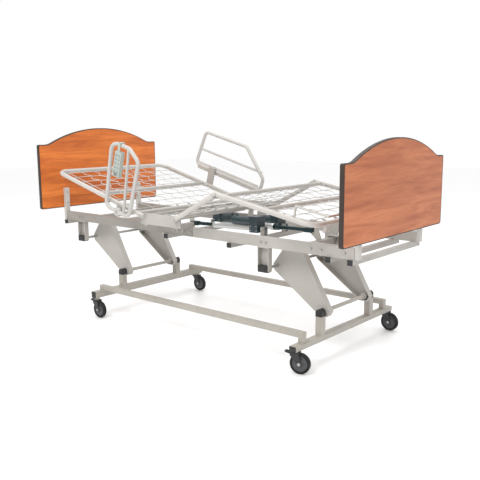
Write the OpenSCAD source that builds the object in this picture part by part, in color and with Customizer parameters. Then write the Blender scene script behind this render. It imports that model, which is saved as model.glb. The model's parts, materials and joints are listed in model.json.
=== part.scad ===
// Adjustable electric bed on a four-caster base. Millimetres, +Z up, +X toward the foot end.
// Origin: centre of the outer box on the floor. Left is -Y, right is +Y.

/* [Boards] */
// Width of both end boards
board_w = 960; // [920:5:1000]
// Clear distance between the inner faces of the boards
board_gap = 2156; // [2140:4:2220]
// Thickness of the boards
board_t = 22; // [18:1:28]
// Height of the headboard at its shoulders
headboard_h = 400; // [340:5:460]
// Height of the footboard at its shoulders
footboard_h = 356; // [320:5:420]
// Rise of the arched top above the shoulders
board_arch = 98; // [60:2:110]

/* [Lift] */
// Angle of the lift arms above the floor as modelled
lift_angle = 34.5; // [20:0.5:50]
// Distance between the lower and upper arm pivots
link_len = 335; // [320:1:345]
// Height of the lower arm pivots above the floor
pivot_z = 244; // [240:1:260]

/* [Sleep surface] */
// Raised angle of the head section
head_angle = 15.3; // [0:0.1:40]
// Raised angle of the thigh section
thigh_angle = 27.5; // [0:0.5:33]
// Downward slope of the foot section
foot_angle = 10.5; // [0:0.5:14]

/* [Casters] */
// Diameter of the caster wheels
wheel_d = 100; // [96:1:100]
// Turn of the left foot caster about its stem
caster_turn = 15; // [-30:5:30]

/* [Hidden] */
$fn = 48;
eps = 0.01;
elbow_lap = 3;
elbow_wall = 0.6;
slot_relief = 0.08;
fit = 0.05;

// heights stacked on the upper arm pivots
upper_z = pivot_z + link_len * sin(lift_angle);
rail_z = upper_z + 108;
rail_h = 50;
rail_w = 30;
rail_y = 300;
hinge_z = rail_z + 107;
tube_s = 25;

// upper pivots are fixed to the deck, lower pivots stand under them
upper_x_head = -901;
upper_x_foot = 555;
reach = link_len * cos(lift_angle);
lower_x_head = upper_x_head + reach;
lower_x_foot = upper_x_foot + reach;
lower_y = 229;

// base levels
head_tube_z = 120;
foot_tube_z = 108;
base_w = 38;
foot_tube_h = 25;
side_z = 158;
side_s = 28;
side_y = 380;
base_half = 455;
post_w = 34;
post_d = 35;
cap_r = 17.5;
caster_y = 430;
stem_d = 14;
collar_d = 30;
wheel_w = 24;
trail = 22;
crown_z = 102;
shaft_d = 20;
upper_shaft_d = 16;

// lift arm plate outline about the lower pivot, arm as drawn at its own angle
arm_pts = [[-22, -24], [22, -24], [36, 0], [-136, 300], [-226, 300], [-304, 196], [-296, 164], [-50, -6]];
arm_y0 = 172;
arm_y1 = 206;
sheet = 4;
upper_rel = [-reach, link_len * sin(lift_angle)];

// deck stations along X
head_rail_x0 = -1058;
mid_x = -126;
knee_x = 337;
foot_x = 930;
end_x = 1045;
rail_split = -20;
foot_rail_x1 = 800;
board_x = board_gap / 2;
board_lift = 75;
shoulder_w = 75;
band_t = 4;

// sleep surface hinges and lengths
section_y = 433;
tube_r = 12.5;
back_x = -200;
thigh_x = 60;
head_len = 793;
thigh_len = 325;
foot_len = 592;
corner_r = 60;
bar_r = 11;
pin_d = 12;
plate_y0 = 412;
plate_y1 = 418;
knee_px = thigh_x + thigh_len * cos(thigh_angle);
knee_pz = hinge_z + thigh_len * sin(thigh_angle);

// assist rails and their brackets
assist_y = 470;
assist_r = 11;
guard_pivot = [330, 97];
grip_pivot = [155, -30];
grip_top = 336;
pendant_s = 200;

// actuators: rear pivot, lever pin, cross position
lift_rear = [mid_x, rail_z + 28];
lift_pin = [upper_x_foot + 20, upper_z + 146];
lift_y = 70;
back_rear = [knee_x, rail_z + 38];
back_pin = [back_x + 4, hinge_z - 85];
back_y = -40;
knee_rear = [knee_x, rail_z + 33];
knee_pin = [thigh_x + 17, hinge_z - 98];
knee_y = 150;
rod_d = 20;
yoke_l = 40;
case_d = 34;
lever_t = 8;

frame_grey = [0.78, 0.77, 0.74];
wood = [0.80, 0.47, 0.25];
band_brown = [0.25, 0.16, 0.11];
black = [0.08, 0.08, 0.09];
motor_green = [0.14, 0.20, 0.22];

// ---------- helpers ----------

// box given by its low and high corners
module span_box(low, high) {
  translate(low)
    cube(high - low);
}

// cylinder along Y between two Y values, centred at x and z
module rod_y(x, z, y0, y1, d) {
  translate([x, y1, z])
    rotate([90, 0, 0])
      cylinder(h = y1 - y0, d = d);
}

// cylinder along X between two X values
module rod_x(y, z, x0, x1, d) {
  translate([x0, y, z])
    rotate([0, 90, 0])
      cylinder(h = x1 - x0, d = d);
}

// XZ outline given at x and z, extruded from y0 to y1
module plate_xz(y0, y1) {
  translate([0, y1, 0])
    rotate([90, 0, 0])
      linear_extrude(height = y1 - y0)
        children();
}

// places section coordinates: s along the section, z normal to it, hinge at x and z
module at_hinge(x, z, angle, toward_head) {
  translate([x, 0, z])
    rotate([0, toward_head ? angle : -angle, 0])
      mirror([toward_head ? 1 : 0, 0, 0])
        children();
}

function unit(v) = v / norm(v);
function turn_at(a, b, c) = let(u = unit(b - a), w = unit(c - b)) atan2(u[0] * w[1] - u[1] * w[0], u * w);

// round tube along a closed path in the XY plane, bent to radius bend at each corner
module closed_tube(pts, r, bend) {
  n = len(pts);
  for (i = [0:n - 1]) {
    a = pts[(i + n - 1) % n];
    b = pts[i];
    c = pts[(i + 1) % n];
    d = pts[(i + 2) % n];
    t0 = bend * tan(abs(turn_at(a, b, c)) / 2);
    t1 = bend * tan(abs(turn_at(b, c, d)) / 2);
    u = unit(c - b);
    ang = atan2(u[1], u[0]);
    translate([b[0] + u[0] * (t0 - elbow_lap), b[1] + u[1] * (t0 - elbow_lap), 0])
      rotate([0, 0, ang])
        rotate([0, 90, 0])
          cylinder(h = norm(c - b) - t0 - t1 + 2 * elbow_lap, r = r);
    corner_tube(a, b, c, r + elbow_wall, bend);
  }
}

// one bent corner of a tube path at point b
module corner_tube(a, b, c, r, bend) {
  turn = turn_at(a, b, c);
  side = turn > 0 ? 1 : -1;
  u = unit(b - a);
  w = unit(c - b);
  t = bend * tan(abs(turn) / 2);
  start = turn > 0 ? b - u * t : b + w * t;
  dir = turn > 0 ? u : w;
  centre = start + side * bend * [-dir[1], dir[0]];
  translate([centre[0], centre[1], 0])
    rotate([0, 0, atan2(start[1] - centre[1], start[0] - centre[0])])
      rotate_extrude(angle = abs(turn))
        translate([bend, 0])
          circle(r = r);
}

// U-shaped tube frame: legs from s0 to the rounded far end at length l
module u_frame(s0, l) {
  for (side = [-1, 1]) {
    translate([s0, side * section_y, 0])
      rotate([0, 90, 0])
        cylinder(h = l - tube_r - corner_r - s0, r = tube_r);
    translate([l - tube_r - corner_r, side * (section_y - corner_r), 0])
      rotate([0, 0, side > 0 ? 0 : -90])
        rotate_extrude(angle = 90)
          translate([corner_r, 0])
            circle(r = tube_r);
  }
  translate([l - tube_r, section_y - corner_r, 0])
    rotate([90, 0, 0])
      cylinder(h = 2 * (section_y - corner_r), r = tube_r);
}

// cross tube of a section between its legs
module cross_bar(s) {
  half = section_y - 3;
  translate([s, half, 0])
    rotate([90, 0, 0])
      cylinder(h = 2 * half, r = bar_r);
}

// sagging spring fabric of a section: lengthwise and crosswise flat wires
module spring_fabric(s0, s1, rows, cols) {
  wire = 4;
  pitch_s = (s1 - s0) / (cols + 1);
  pitch_y = 2 * (section_y - tube_r) / (rows + 1);
  for (i = [1:rows])
    translate([s0, -section_y + tube_r + i * pitch_y - wire / 2, 1])
      cube([s1 - s0, wire, wire]);
  for (i = [1:cols])
    translate([s0 + i * pitch_s - wire / 2, -section_y + tube_r - 1, -2])
      cube([wire, 2 * (section_y - tube_r) + 2, wire]);
}

// points of the arched top from the right shoulder to the left one, lowered by drop
function arch_points(h, drop) =
  let(run = board_w / 2 - shoulder_w, steps = 24, arc_r = (run * run + board_arch * board_arch) / (2 * board_arch))
  [for (i = [-steps:steps]) let(y = -run * i / steps) [y, h - drop + board_arch - arc_r + sqrt(arc_r * arc_r - y * y)]];

// arched board outline in the YZ plane, set in by band all round
module board_outline(h, band) {
  half = board_w / 2 - band;
  polygon(concat([[-half, band], [half, band], [half, h - band]], arch_points(h, band), [[-half, h - band]]));
}

// band of the given width round the edge of a board
module board_rim(x0, x1, h, band) {
  translate([x0, 0, rail_z + board_lift])
    rotate([90, 0, 90])
      linear_extrude(height = x1 - x0)
        difference() {
          board_outline(h, 0);
          board_outline(h, band);
        }
}

module board_core(x0, x1, h) {
  translate([x0, 0, rail_z + board_lift])
    rotate([90, 0, 90])
      linear_extrude(height = x1 - x0)
        board_outline(h, band_t);
}

// ---------- base ----------

module stem_bores(x, z) {
  for (side = [-1, 1])
    translate([x, side * caster_y, z - 14])
      cylinder(h = 30, d = stem_d + 2 * fit);
}

module base_head_tube() {
  color(frame_grey)
    difference() {
      union() {
        span_box([lower_x_head - base_w / 2, -base_half, head_tube_z], [lower_x_head + base_w / 2, base_half, side_z]);
        for (side = [-1, 1])
          translate([lower_x_head, side * caster_y, foot_tube_z])
            cylinder(h = head_tube_z - foot_tube_z, d = collar_d);
      }
      stem_bores(lower_x_head, head_tube_z);
    }
}

module base_foot_tube() {
  color(frame_grey)
    difference() {
      span_box([lower_x_foot - base_w / 2, -base_half, foot_tube_z],
        [lower_x_foot + base_w / 2, base_half, foot_tube_z + foot_tube_h]);
      translate([0, 0, 6])
        stem_bores(lower_x_foot, foot_tube_z);
    }
}

module base_side_tubes() {
  color(frame_grey)
    for (side = [-1, 1])
      union() {
        span_box([lower_x_head - base_w / 2, side * side_y - side_s / 2, side_z],
          [lower_x_foot + side_s / 2, side * side_y + side_s / 2, side_z + side_s]);
        span_box([lower_x_foot - side_s / 2, side * side_y - side_s / 2, foot_tube_z + foot_tube_h],
          [lower_x_foot + side_s / 2, side * side_y + side_s / 2, side_z + eps]);
      }
}

module base_uprights() {
  color(frame_grey)
    for (side = [-1, 1]) {
      span_box([lower_x_head - post_w / 2, side * lower_y - post_d / 2, side_z],
        [lower_x_head + post_w / 2, side * lower_y + post_d / 2, pivot_z - 18]);
      span_box([lower_x_foot - post_w / 2, side * lower_y - post_d / 2, foot_tube_z + foot_tube_h],
        [lower_x_foot + post_w / 2, side * lower_y + post_d / 2, pivot_z - 18]);
    }
}

module pivot_caps() {
  color(black)
    for (x = [lower_x_head, lower_x_foot])
      for (side = [-1, 1])
        translate([x, side * lower_y, pivot_z])
          rotate([90, 0, 0])
            translate([0, 0, -post_d / 2 - 1])
              linear_extrude(height = post_d + 2)
                difference() {
                  union() {
                    circle(r = cap_r + 0.5);
                    translate([-cap_r, -18])
                      square([2 * cap_r, 18]);
                  }
                  circle(d = shaft_d + 2 * fit);
                }
}

// ---------- casters, built about the stem axis with the wheel trailing toward +X ----------

module caster_place(x, y, turn) {
  translate([x, y, 0])
    rotate([0, 0, turn])
      children();
}

module caster_fork() {
  axle_z = wheel_d / 2;
  gap = wheel_w / 2 + 1.5;
  color(frame_grey)
    union() {
      difference() {
        translate([0, 0, crown_z])
          cylinder(h = 5, d = 44);
        span_box([-40, -60, crown_z - 1], [40, -gap - 3.5, crown_z + 6]);
        span_box([-40, gap + 3.5, crown_z - 1], [40, 60, crown_z + 6]);
      }
      cylinder_at([0, 0, crown_z + 4], 22, stem_d);
      for (side = [-1, 1])
        plate_xz(side > 0 ? gap : -gap - 3, side > 0 ? gap + 3 : -gap)
          polygon([[-24, crown_z + 5], [-24, crown_z - 14], [trail - 12, axle_z], [trail - 8, axle_z - 9],
            [trail + 8, axle_z - 9], [trail + 12, axle_z], [20, crown_z - 8], [20, crown_z + 5]]);
      rod_y(trail, axle_z, -gap - 6, gap + 6, 10);
      rod_y(-16, 94, -gap - 4, gap + 4, 5);
    }
}

module cylinder_at(p, h, d) {
  translate(p)
    cylinder(h = h, d = d);
}

module caster_wheel() {
  r = wheel_d / 2;
  w = wheel_w / 2;
  color(black)
    translate([trail, 0, r])
      rotate([90, 0, 0])
        rotate_extrude()
          polygon([[5 + fit, -w], [14, -w], [16, -w + 4], [r - 14, -w + 4], [r - 12, -w], [r - 4, -w], [r, -w + 5],
            [r, w - 5], [r - 4, w], [r - 12, w], [r - 14, w - 4], [16, w - 4], [14, w], [5 + fit, w]]);
}

module brake_pedal() {
  half = 12;
  color(black)
    difference() {
      union() {
        rod_y(-16, 94, -half, half, 10);
        plate_xz(-half, half)
          polygon([[-17, 97], [-14, 92], [-20, 92], [-50, 99], [-52, 105], [-30, 101.5]]);
      }
      rod_y(-16, 94, -half - 1, half + 1, 5 + 2 * fit);
    }
}

module caster_fork_head_left() {
  caster_place(lower_x_head, -caster_y, 0)
    caster_fork();
}

module caster_fork_head_right() {
  caster_place(lower_x_head, caster_y, 0)
    caster_fork();
}

module caster_fork_foot_left() {
  caster_place(lower_x_foot, -caster_y, caster_turn)
    caster_fork();
}

module caster_fork_foot_right() {
  caster_place(lower_x_foot, caster_y, 0)
    caster_fork();
}

module caster_wheel_head_left() {
  caster_place(lower_x_head, -caster_y, 0)
    caster_wheel();
}

module caster_wheel_head_right() {
  caster_place(lower_x_head, caster_y, 0)
    caster_wheel();
}

module caster_wheel_foot_left() {
  caster_place(lower_x_foot, -caster_y, caster_turn)
    caster_wheel();
}

module caster_wheel_foot_right() {
  caster_place(lower_x_foot, caster_y, 0)
    caster_wheel();
}

module brake_pedal_head_left() {
  caster_place(lower_x_head, -caster_y, 0)
    brake_pedal();
}

module brake_pedal_head_right() {
  caster_place(lower_x_head, caster_y, 0)
    brake_pedal();
}

module brake_pedal_foot_left() {
  caster_place(lower_x_foot, -caster_y, caster_turn)
    brake_pedal();
}

module brake_pedal_foot_right() {
  caster_place(lower_x_foot, caster_y, 0)
    brake_pedal();
}

// ---------- lift arms ----------

// inset of a convex outline listed counterclockwise
function edge_line(a, b, t) = let(u = unit(b - a), n = [-u[1], u[0]]) [n, n * a + t];
function cross_lines(p, q) =
  let(d = p[0][0] * q[0][1] - p[0][1] * q[0][0])
  [(p[1] * q[0][1] - q[1] * p[0][1]) / d, (p[0][0] * q[1] - q[0][0] * p[1]) / d];
function inset(pts, t) = let(n = len(pts))
  [for (i = [0:n - 1]) cross_lines(edge_line(pts[(i + n - 1) % n], pts[i], t), edge_line(pts[i], pts[(i + 1) % n], t))];

// pressed tray, open toward the bed centre, about the lower pivot
module arm_tray(side) {
  y0 = side > 0 ? arm_y0 : -arm_y1;
  y1 = side > 0 ? arm_y1 : -arm_y0;
  difference() {
    plate_xz(y0, y1)
      polygon(arm_pts);
    plate_xz(side > 0 ? y0 - 1 : y0 + sheet, side > 0 ? y1 - sheet : y1 + 1)
      difference() {
        polygon(inset(arm_pts, sheet));
        circle(r = shaft_d / 2 + 6);
        translate(upper_rel)
          circle(r = upper_shaft_d / 2 + 6);
        translate([-212, 272])
          square([40, 40], center = true);
      }
    rod_y(0, 0, y0 - 1, y1 + 1, shaft_d);
    rod_y(upper_rel[0], upper_rel[1], y0 - 1, y1 + 1, upper_shaft_d);
    span_box([-212 - 15, side > 0 ? y0 - 1 : y1 - 30, 272 - 15], [-212 + 15, side > 0 ? y0 + 30 : y1 + 1, 272 + 15]);
  }
}

module lift_arms_at(x) {
  color(frame_grey)
    for (side = [-1, 1])
      translate([x, 0, pivot_z])
        arm_tray(side);
}

module lower_shaft_at(x) {
  color(frame_grey)
    rod_y(x, pivot_z, -lower_y - post_d / 2 - 1, lower_y + post_d / 2 + 1, shaft_d);
}

module upper_shaft_at(x) {
  color(frame_grey)
    rod_y(x, upper_z, -rail_y - 15, rail_y + 15, upper_shaft_d);
}

module tie_tube_at(x) {
  color(frame_grey)
    span_box([x - 212 - 15, -arm_y0 - 30, pivot_z + 272 - 15], [x - 212 + 15, arm_y0 + 30, pivot_z + 272 + 15]);
}

module head_lift_arms() {
  lift_arms_at(lower_x_head);
}

module head_lower_shaft() {
  lower_shaft_at(lower_x_head);
}

module head_upper_shaft() {
  upper_shaft_at(upper_x_head);
}

module head_tie_tube() {
  tie_tube_at(lower_x_head);
}

module foot_lift_arms() {
  lift_arms_at(lower_x_foot);
}

module foot_lower_shaft() {
  lower_shaft_at(lower_x_foot);
}

module foot_upper_shaft() {
  upper_shaft_at(upper_x_foot);
}

module foot_tie_tube() {
  tie_tube_at(lower_x_foot);
}

// slotted hole that starts at p and runs for length l in direction dir
module slot(p, l, dir, w) {
  d = unit(dir);
  translate(p)
    circle(d = w);
  translate(p + d * l)
    circle(d = w);
  translate(p)
    rotate(atan2(d[1], d[0]))
      translate([0, -w / 2 + slot_relief])
        square([l, w - 2 * slot_relief]);
}

// lever on the foot tie tube that the lift rod works on
module lift_lever() {
  tie = [lower_x_foot - 212, pivot_z + 287];
  color(frame_grey)
    plate_xz(lift_y - lever_t / 2, lift_y + lever_t / 2)
      difference() {
        polygon([[tie[0] - 15, tie[1]], [tie[0] + 15, tie[1]], [lift_pin[0] + 28, lift_pin[1] + 30],
          [lift_pin[0] + 22, lift_pin[1] + 58], [lift_pin[0] - 12, lift_pin[1] + 58], [lift_pin[0] - 17, lift_pin[1] - 8]]);
        slot(lift_pin - unit([20, 146]), 41, [20, 146], 25);
      }
}

// ---------- deck frame ----------

module head_rails() {
  color(frame_grey)
    for (side = [-1, 1])
      span_box([head_rail_x0, side * rail_y - rail_w / 2, rail_z], [rail_split, side * rail_y + rail_w / 2, rail_z + rail_h]);
}

module foot_rails() {
  color(frame_grey)
    for (side = [-1, 1])
      span_box([rail_split, side * rail_y - rail_w / 2, rail_z], [foot_rail_x1, side * rail_y + rail_w / 2, rail_z + rail_h]);
}

// flat splice plates over the joint between the rail halves
module rail_sleeves() {
  color(frame_grey)
    for (side = [-1, 1])
      for (face = [-1, 1])
        span_box([rail_split - 70, side * rail_y + face * (rail_w / 2 + 1.5) - 1.5, rail_z + 3],
          [rail_split + 90, side * rail_y + face * (rail_w / 2 + 1.5) + 1.5, rail_z + rail_h - 3]);
}

module cross_tubes() {
  color(frame_grey)
    for (x = [head_rail_x0 + 13, mid_x, knee_x, foot_x, end_x])
      span_box([x - tube_s / 2, -rail_y - 25, rail_z - tube_s], [x + tube_s / 2, rail_y + 25, rail_z]);
}

module tube_plugs() {
  color(black)
    for (x = [head_rail_x0 + 13, mid_x, knee_x, foot_x, end_x])
      for (side = [-1, 1])
        span_box([x - tube_s / 2, side > 0 ? rail_y + 25 : -rail_y - 31, rail_z - tube_s],
          [x + tube_s / 2, side > 0 ? rail_y + 31 : -rail_y - 25, rail_z]);
}

// U-channels hanging from the rails, open outward, that carry the upper shafts
module shaft_hangers() {
  drop = rail_z - upper_z + 14;
  color(frame_grey)
    for (x = [upper_x_head, upper_x_foot])
      for (side = [-1, 1])
        difference() {
          span_box([x - 42, side * rail_y - 15, rail_z - drop], [x + 26, side * rail_y + 15, rail_z]);
          span_box([x - 38, side > 0 ? side * rail_y - 11 : side * rail_y - 16, rail_z - drop - 1],
            [x + 22, side > 0 ? side * rail_y + 16 : side * rail_y + 11, rail_z - 4]);
          rod_y(x, upper_z, side * rail_y - 20, side * rail_y + 20, upper_shaft_d + 2 * fit);
        }
}

module shaft_bearings() {
  drop = rail_z - upper_z + 18;
  color(black)
    for (x = [upper_x_head, upper_x_foot])
      for (side = [-1, 1])
        difference() {
          span_box([x - 38, side > 0 ? rail_y - 11 : -rail_y - 18, rail_z - drop],
            [x + 22, side > 0 ? rail_y + 18 : -rail_y + 11, rail_z - drop + 32]);
          rod_y(x, upper_z, side * rail_y - 20, side * rail_y + 20, upper_shaft_d + 2 * fit);
        }
}

// upright plates that carry the boards at both ends
module board_posts() {
  color(frame_grey)
    for (side = [-1, 1]) {
      span_box([-board_x, side * rail_y - 15, rail_z], [head_rail_x0, side * rail_y + 15, rail_z + 200]);
      span_box([end_x + 15, side * rail_y - 15, rail_z], [board_x, side * rail_y + 15, rail_z + 160]);
    }
}

module footboard_brackets() {
  color(frame_grey)
    for (side = [-1, 1])
      span_box([foot_rail_x1, side * rail_y - 19, rail_z], [end_x + 15, side * rail_y + 19, rail_z + rail_h + 2]);
}

module headboard() {
  color(wood)
    board_core(-board_x - board_t, -board_x, headboard_h);
}

module footboard() {
  color(wood)
    board_core(board_x, board_x + board_t, footboard_h);
}

module board_edges() {
  color(band_brown) {
    board_rim(-board_x - board_t, -board_x, headboard_h, band_t);
    board_rim(board_x, board_x + board_t, footboard_h, band_t);
  }
}

// pairs of lugs on the cross tubes that hold the rear pins of the actuators
module actuator_brackets() {
  color(frame_grey) {
    lug_pair(lift_y, [[mid_x - 12, rail_z], [mid_x + 12, rail_z], [mid_x + 12, lift_rear[1] + 10], [mid_x - 12, lift_rear[1] + 10]]);
    rod_y(lift_rear[0], lift_rear[1], lift_y - 20, lift_y + 20, 10);
    lug_pair(back_y, [[knee_x - 12, rail_z], [knee_x + 12, rail_z], [knee_x + 12, back_rear[1] + 10],
      [knee_x - 12, back_rear[1] + 10]]);
    rod_y(back_rear[0], back_rear[1], back_y - 20, back_y + 20, 10);
    lug_pair(knee_y, [[knee_x - 12, rail_z], [knee_x + 12, rail_z], [knee_x + 12, knee_rear[1] + 10],
      [knee_x - 12, knee_rear[1] + 10]]);
    rod_y(knee_rear[0], knee_rear[1], knee_y - 20, knee_y + 20, 10);
  }
}

module lug_pair(y, pts) {
  for (side = [-1, 1])
    plate_xz(y + side * 14 - 3, y + side * 14 + 3)
      polygon(pts);
}

module control_box() {
  color(motor_green)
    union() {
      span_box([mid_x - 12, 170, rail_z], [mid_x + 140, 252, rail_z + 42]);
      rod_x(190, rail_z + 20, mid_x + 140, mid_x + 152, 16);
      rod_x(232, rail_z + 20, mid_x + 140, mid_x + 152, 16);
    }
}

// side plates, outriggers on the rails and cross tubes of the fixed seat section
module seat_frame() {
  color(frame_grey)
    union() {
      for (side = [-1, 1]) {
        span_box([back_x - 22, side > 0 ? plate_y0 : -plate_y1, rail_z + rail_h + 8],
          [thigh_x + 22, side > 0 ? plate_y1 : -plate_y0, hinge_z + 13]);
        for (x = [back_x + 10, thigh_x - 20])
          span_box([x - tube_s / 2, side > 0 ? rail_y - 15 : -plate_y0 - 1, rail_z + rail_h],
            [x + tube_s / 2, side > 0 ? plate_y0 + 1 : -rail_y + 15, rail_z + rail_h + tube_s]);
      }
      for (x = [back_x + 50, thigh_x - 40])
        span_box([x - 11, -plate_y0 - 1, hinge_z - 12], [x + 11, plate_y0 + 1, hinge_z + 10]);
    }
}

module seat_springs() {
  color(frame_grey)
    for (i = [1:9])
      translate([back_x + 61, -plate_y0 + i * 82.4 - 2, hinge_z + 1])
        cube([118, 4, 4]);
}

module hinge_pins() {
  color(frame_grey)
    for (x = [back_x, thigh_x])
      for (side = [-1, 1])
        rod_y(x, hinge_z, side > 0 ? plate_y1 : -section_y - tube_r - 4, side > 0 ? section_y + tube_r + 4 : -plate_y1, pin_d);
}

// ---------- moving sections ----------

// plate lever welded in a saddle under a section cross tube; bar and pin given in room coordinates
module section_lever(hinge, bar, pin, y, slot_in, slot_out, slot_w) {
  away = pin - hinge;
  d = unit(bar - pin);
  n = [-d[1], d[0]];
  tip = unit(away) * (slot_out + 14);
  plate_xz(y - lever_t / 2, y + lever_t / 2)
    difference() {
      polygon([bar + n * 16, bar - n * 16, pin - n * 17, pin + tip - n * 12, pin + tip + n * 12, pin + n * 17]);
      translate(bar)
        circle(r = bar_r);
      slot(pin - unit(away) * slot_in, slot_in + slot_out, away, slot_w);
    }
}

module head_frame() {
  bar = [back_x - 40 * cos(head_angle), hinge_z + 40 * sin(head_angle)];
  color(frame_grey) {
    at_hinge(back_x, hinge_z, head_angle, true)
      difference() {
        union() {
          u_frame(-14, head_len);
          cross_bar(40);
          cross_bar(370);
        }
        pin_bores();
      }
    section_lever([back_x, hinge_z], bar, back_pin, back_y, 5, 12, 19);
  }
}

module pin_bores() {
  for (side = [-1, 1])
    rod_y(0, 0, side * section_y - 20, side * section_y + 20, pin_d + 2 * fit);
}

module head_springs() {
  color(frame_grey)
    at_hinge(back_x, hinge_z, head_angle, true)
      spring_fabric(50, head_len - 2 * tube_r + 1, 9, 7);
}

module thigh_frame() {
  bar = [thigh_x + 40 * cos(thigh_angle), hinge_z + 40 * sin(thigh_angle)];
  color(frame_grey) {
    at_hinge(thigh_x, hinge_z, thigh_angle, false)
      union() {
        difference() {
          union() {
            for (side = [-1, 1])
              translate([-14, side * section_y, 0])
                rotate([0, 90, 0])
                  cylinder(h = thigh_len - 20 + 14, r = tube_r);
            cross_bar(40);
            cross_bar(thigh_len - 40);
          }
          pin_bores();
        }
        for (side = [-1, 1]) {
          span_box([thigh_len - 60, side > 0 ? plate_y0 : -section_y + 10, -9],
            [thigh_len - 22, side > 0 ? section_y - 10 : -plate_y0, 9]);
          span_box([thigh_len - 60, side > 0 ? plate_y0 : -plate_y1, -12], [thigh_len + 12, side > 0 ? plate_y1 : -plate_y0, 12]);
          rod_y(thigh_len, 0, side > 0 ? plate_y0 + 1 : -section_y - tube_r - 4,
            side > 0 ? section_y + tube_r + 4 : -plate_y0 - 1, pin_d);
        }
      }
    section_lever([thigh_x, hinge_z], bar, knee_pin, knee_y, 2, 4, 14);
  }
}

module thigh_springs() {
  color(frame_grey)
    at_hinge(thigh_x, hinge_z, thigh_angle, false)
      spring_fabric(50, thigh_len - 50, 9, 3);
}

module foot_frame() {
  color(frame_grey)
    at_hinge(knee_px, knee_pz, -foot_angle, false)
      union() {
        difference() {
          union() {
            u_frame(-14, foot_len);
            cross_bar(40);
            cross_bar(300);
          }
          pin_bores();
        }
        for (side = [-1, 1])
          plate_xz(side * rail_y - 12, side * rail_y + 12)
            polygon([[foot_len - 26, 0], [foot_len - 6, 0], [foot_len - 20, -50], [foot_len - 36, -50]]);
      }
}

module foot_springs() {
  color(frame_grey)
    at_hinge(knee_px, knee_pz, -foot_angle, false)
      spring_fabric(50, foot_len - 2 * tube_r + 1, 9, 5);
}

// round wire that keeps the mattress from sliding off the foot end
module mattress_retainer() {
  wire_r = 5;
  y = section_y - 8;
  far = foot_len + 52;
  color(frame_grey)
    at_hinge(knee_px, knee_pz, -foot_angle, false)
      union() {
        for (side = [-1, 1]) {
          translate([foot_len - 122, side * y, 9])
            cylinder(h = 51, r = wire_r);
          translate([foot_len - 122, side * y, 60])
            sphere(r = wire_r + elbow_wall);
          translate([foot_len - 122, side * y, 60])
            rotate([0, 90, 0])
              cylinder(h = far - foot_len + 122, r = wire_r);
          translate([far, side * y, 60])
            sphere(r = wire_r + elbow_wall);
        }
        translate([far, y, 60])
          rotate([90, 0, 0])
            cylinder(h = 2 * y, r = wire_r);
      }
}

// brackets on the head section legs with the pivot pins of the assist rails
module assist_brackets() {
  gap_y = section_y + tube_r - 2;
  color(frame_grey)
    at_hinge(back_x, hinge_z, head_angle, true) {
      union() {
        span_box([guard_pivot[0] - 25, gap_y, -8], [guard_pivot[0] + 25, assist_y - assist_r - 3, guard_pivot[1] + 22]);
        rod_y(guard_pivot[0], guard_pivot[1], assist_y - assist_r - 4, assist_y + assist_r + 3, 14);
      }
      union() {
        span_box([grip_pivot[0] - 30, -assist_y + assist_r + 3, grip_pivot[1] - 18], [grip_pivot[0] + 30, -gap_y, 8]);
        rod_y(grip_pivot[0], grip_pivot[1], -assist_y - assist_r - 3, -assist_y + assist_r + 4, 14);
      }
    }
}

// long rail in guard position on the right of the head section
module guard_rail() {
  color(frame_grey)
    at_hinge(back_x, hinge_z, head_angle, true)
      difference() {
        union() {
          translate([0, assist_y, 0])
            rotate([90, 0, 0])
              closed_tube([[500, 97], [460, 328], [98, 330], [-84, 172], [-80, 97]], assist_r, 34);
          translate([-44, assist_y, 208])
            rotate([0, 90, 0])
              cylinder(h = 524, r = 8);
          span_box([-40, assist_y - 4, 74], [466, assist_y + 4, 120]);
          rod_y(guard_pivot[0], guard_pivot[1], assist_y - assist_r + 2, assist_y + assist_r - 2, 52);
        }
        rod_y(guard_pivot[0], guard_pivot[1], assist_y - 20, assist_y + 20, 14 + 2 * fit);
      }
}

// short rail standing up on the left of the head section
module grip_rail() {
  color(frame_grey)
    at_hinge(back_x, hinge_z, head_angle, true)
      difference() {
        union() {
          translate([0, -assist_y, 0])
            rotate([90, 0, 0])
              closed_tube([[256, -30], [278, 318], [232, grip_top], [130, grip_top], [46, 286], [56, -30]], assist_r, 24);
          translate([104, -assist_y, -30])
            rotate([0, 6, 0])
              cylinder(h = 366, r = 8);
          rod_y(grip_pivot[0], grip_pivot[1], -assist_y - assist_r + 2, -assist_y + assist_r - 2, 46);
        }
        rod_y(grip_pivot[0], grip_pivot[1], -assist_y - 20, -assist_y + 20, 14 + 2 * fit);
      }
}

// hand control with a strap hook over the top bar of the grip rail
module pendant() {
  color([0.62, 0.68, 0.64])
    at_hinge(back_x, hinge_z, head_angle, true)
      translate([pendant_s, -assist_y, 0])
        union() {
          span_box([-26, -15, 160], [26, 10, 300]);
          span_box([-9, -15, 290], [9, -assist_r - 1.2, 350]);
          span_box([-9, -15, grip_top + assist_r], [9, 15, grip_top + assist_r + 4]);
          span_box([-9, assist_r + 1.2, grip_top - 10], [9, 15, 350]);
        }
}

// ---------- actuators, built along +X from the rear pivot ----------

// direction and length from the rear pivot to the lever pin
function drive_len(rear, pin) = norm(pin - rear);
function drive_angle(rear, pin) = atan2(pin[1] - rear[1], pin[0] - rear[0]);

module along_drive(rear, pin, y) {
  translate([rear[0], y, rear[1]])
    rotate([0, -drive_angle(rear, pin), 0])
      children();
}

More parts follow.
